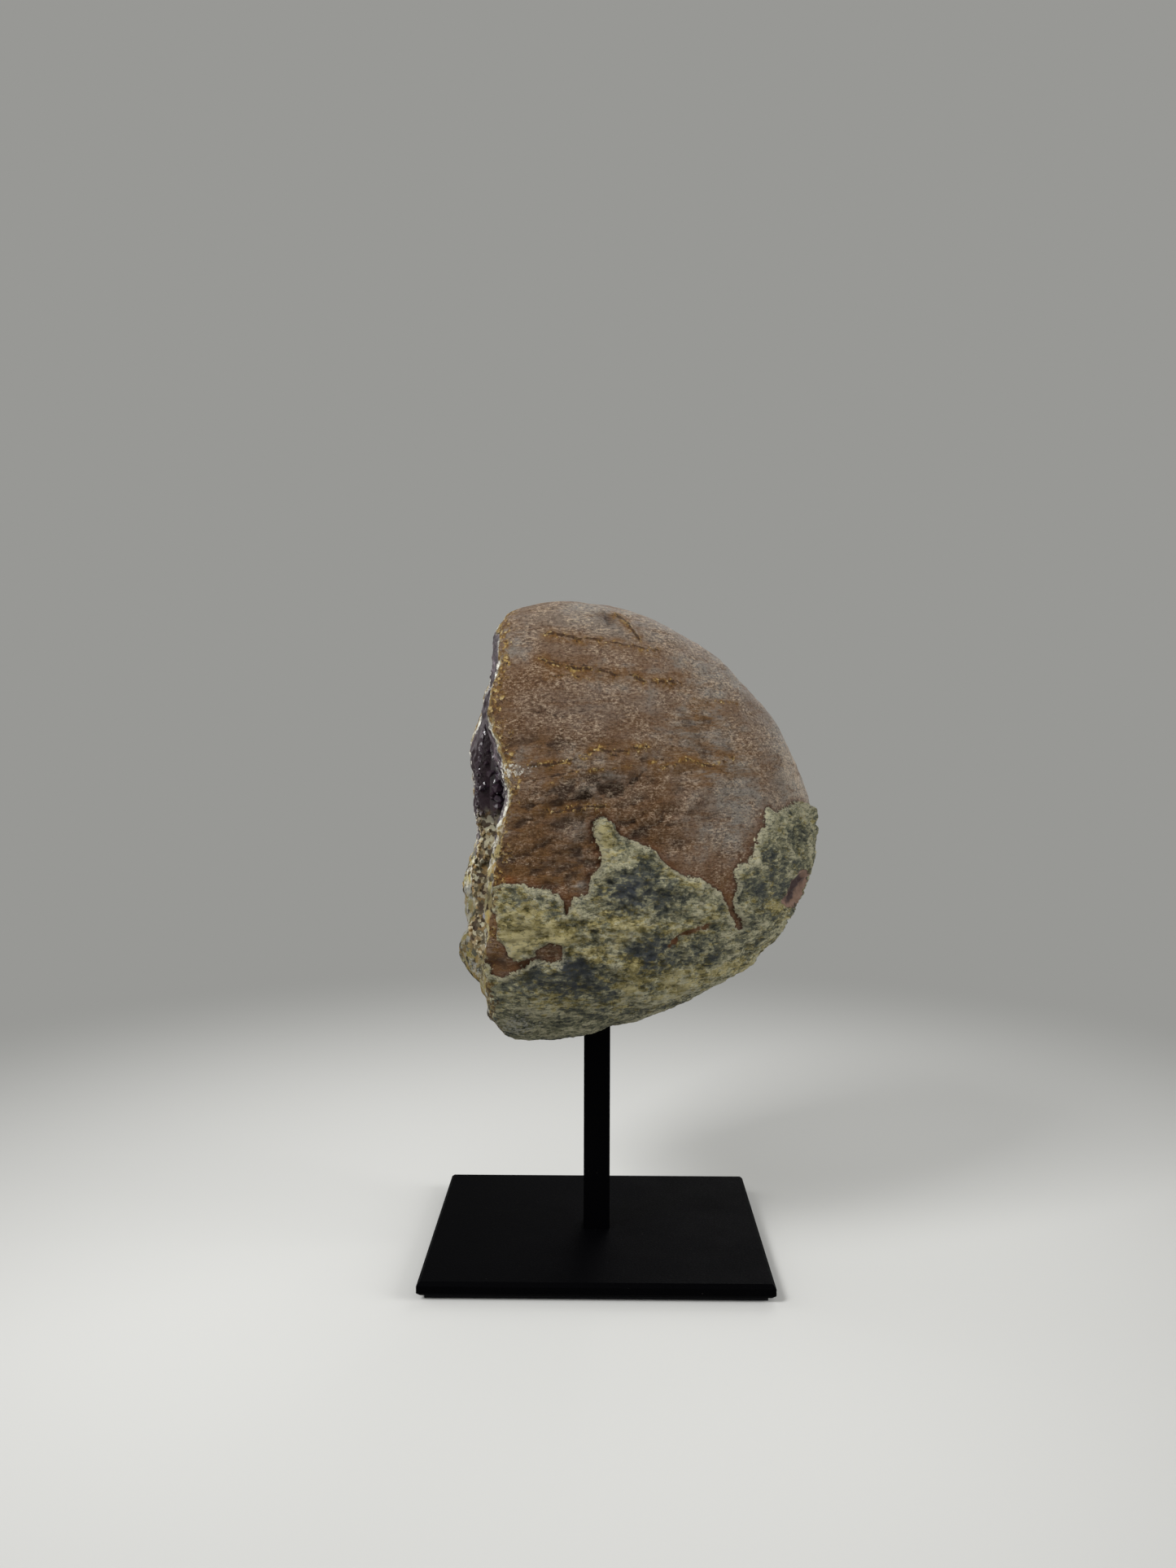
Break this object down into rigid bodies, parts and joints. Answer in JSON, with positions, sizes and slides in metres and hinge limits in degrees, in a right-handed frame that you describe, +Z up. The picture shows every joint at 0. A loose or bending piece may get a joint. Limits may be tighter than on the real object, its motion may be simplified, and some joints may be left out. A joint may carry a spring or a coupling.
{
  "type": "agate geode on a stand",
  "caption": "Half of a broken agate nodule, open in front on a crystal-lined hollow, glued on a square post on a flat rectangular base. A display ornament.",
  "frame": {"origin": "middle of the felt's underside, on the surface that the stand rests on, under the post", "axes": "+Z up along the post; -Y is the front, where the broken face and its hollow look; +X is the stone's side that shows in the picture"},
  "size_m": [0.0979, 0.1171, 0.1968],
  "materials": {
    "stone": "dull mauve-brown skin over a rough grey-green rind, waxy grey agate on the broken rim",
    "crystal": "glossy dark purple quartz points",
    "black_coat": "satin black powder coat with a fine grain",
    "glue": "dark grey filled resin, dull",
    "screw_steel": "bright zinc",
    "felt": "black felt"
  },
  "bodies": {
    "root": {"geode_stone": "stone", "crystal_crust": "crystal", "glue_bead": "glue", "post": "black_coat", "base_plate": "black_coat", "base_screw": "screw_steel", "base_felt": "felt"}
  },
  "joints": []
}
